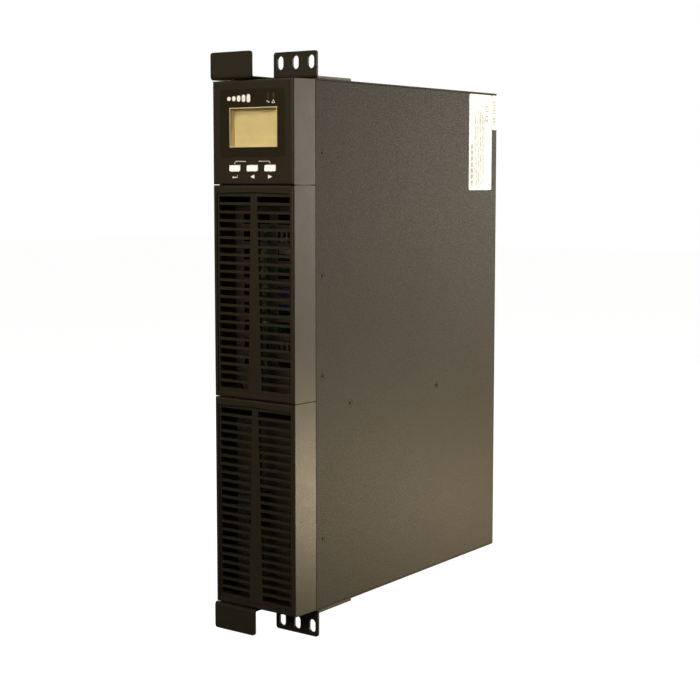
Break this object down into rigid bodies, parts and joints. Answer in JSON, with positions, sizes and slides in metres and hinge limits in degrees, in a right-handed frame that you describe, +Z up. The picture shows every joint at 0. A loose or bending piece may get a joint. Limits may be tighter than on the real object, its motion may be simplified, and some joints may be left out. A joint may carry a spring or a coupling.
{
  "type": "uninterruptible power supply",
  "caption": "Slim upright steel case with a plastic front of display module and slotted grilles, and bent mounting ears at both ends.",
  "frame": {"origin": "centre of the overall box's footprint, at the lowest edge of the lower ear", "axes": "+Z up along the long side, -Y out of the plastic front, +X to the right seen from the front"},
  "size_m": [0.0881, 0.3158, 0.4826],
  "materials": {
    "chassis_paint": "fine texture powder coat",
    "ear_paint": "fine texture powder coat",
    "zinc_plate": "zinc plated",
    "black_screws": "black oxide",
    "label_film": "satin film",
    "front_plastic": "fine spark texture",
    "panel_plastic": "satin",
    "lens_glass": "clear",
    "display_tan": "unlit reflective display",
    "lamp_green": "clear tinted",
    "lamp_red": "clear tinted",
    "circuit_board": "solder mask",
    "black_parts": "moulded",
    "ribbon_film": "flat cable",
    "button_white": "satin",
    "battery_case": "moulded",
    "brass_tabs": "plain",
    "zinc_screws": "zinc plated",
    "plug_red": "moulded",
    "lead_red": "satin",
    "lead_black": "satin",
    "insulator_film": "satin",
    "brass_posts": "plain",
    "sink_aluminium": "extruded",
    "capacitor_sleeve": "shrink sleeve",
    "ferrite": "sintered",
    "coil_tape": "polyester tape",
    "copper_wire": "enamelled",
    "relay_case": "moulded",
    "wire_brown": "satin",
    "guard_chrome": "plated",
    "socket_black": "moulded",
    "port_metal": "plated"
  },
  "bodies": {
    "chassis": {"chassis_tray": "chassis_paint", "side_cover": "chassis_paint", "front_plate": "chassis_paint", "rear_panel": "chassis_paint", "bay_partition": "zinc_plate", "cover_screws": "black_screws", "rack_ear_top": "ear_paint", "rack_ear_bottom": "ear_paint", "ear_screws": "black_screws", "cover_labels": "label_film", "bay_rails": "zinc_plate", "battery_tray": "zinc_plate", "battery_front": "battery_case", "battery_rear": "battery_case", "battery_terminals": "brass_tabs", "battery_door": "chassis_paint", "door_screws": "zinc_screws", "battery_plug": "socket_black", "battery_lead_red": "lead_red", "battery_lead_black": "lead_black", "board_insulator": "insulator_film", "board_posts": "brass_posts", "main_board": "circuit_board", "board_screws": "zinc_screws", "heat_sinks": "sink_aluminium", "power_transistors": "black_parts", "storage_capacitors": "capacitor_sleeve", "transformer_core": "ferrite", "transformer_coil": "coil_tape", "chokes": "copper_wire", "relays": "relay_case", "control_board": "circuit_board", "mains_wires": "wire_brown", "fan_frame": "black_parts", "fan_guard": "guard_chrome", "fan_screws": "zinc_screws", "mains_inlet": "socket_black", "mains_outlets": "socket_black", "breaker_body": "socket_black", "data_ports": "port_metal", "battery_socket": "plug_red", "card_cover": "chassis_paint", "rear_screws": "zinc_screws"},
    "display_module": {"display_housing": "front_plastic", "display_panel": "panel_plastic", "display_lens": "lens_glass", "display_frame": "display_tan", "display_cell": "display_tan", "line_light": "lamp_green", "fault_light": "lamp_red", "display_board": "circuit_board", "touch_switches": "black_parts", "display_ribbon": "ribbon_film"},
    "button_enter": {"button_enter": "button_white"},
    "button_left": {"button_left": "button_white"},
    "button_right": {"button_right": "button_white"},
    "grille_upper": {"grille_upper": "front_plastic"},
    "grille_lower": {"grille_lower": "front_plastic"},
    "fan_rotor": {"fan_rotor": "black_parts"},
    "breaker_button": {"breaker_button": "button_white"}
  },
  "joints": [
    {"name": "display_module_pull", "type": "slide", "parent": "chassis", "child": "display_module", "axis": [0, -1, 0], "range_m": [0, 0.035]},
    {"name": "button_enter_press", "type": "slide", "parent": "display_module", "child": "button_enter", "axis": [0, 1, 0], "range_m": [0, 0.001], "stiffness_N_per_m": 400, "springref_m": -0.0008},
    {"name": "button_left_press", "type": "slide", "parent": "display_module", "child": "button_left", "axis": [0, 1, 0], "range_m": [0, 0.001], "stiffness_N_per_m": 400, "springref_m": -0.0008},
    {"name": "button_right_press", "type": "slide", "parent": "display_module", "child": "button_right", "axis": [0, 1, 0], "range_m": [0, 0.001], "stiffness_N_per_m": 400, "springref_m": -0.0008},
    {"name": "grille_upper_pull", "type": "slide", "parent": "chassis", "child": "grille_upper", "axis": [0, -1, 0], "range_m": [0, 0.03]},
    {"name": "grille_lower_pull", "type": "slide", "parent": "chassis", "child": "grille_lower", "axis": [0, -1, 0], "range_m": [0, 0.03]},
    {"name": "fan_spin", "type": "hinge", "parent": "chassis", "child": "fan_rotor", "pos_m": [0, 0.15115, 0.0715], "axis": [0, 1, 0], "continuous": true},
    {"name": "breaker_reset", "type": "slide", "parent": "chassis", "child": "breaker_button", "axis": [0, 1, 0], "range_m": [0, 0.003]}
  ]
}
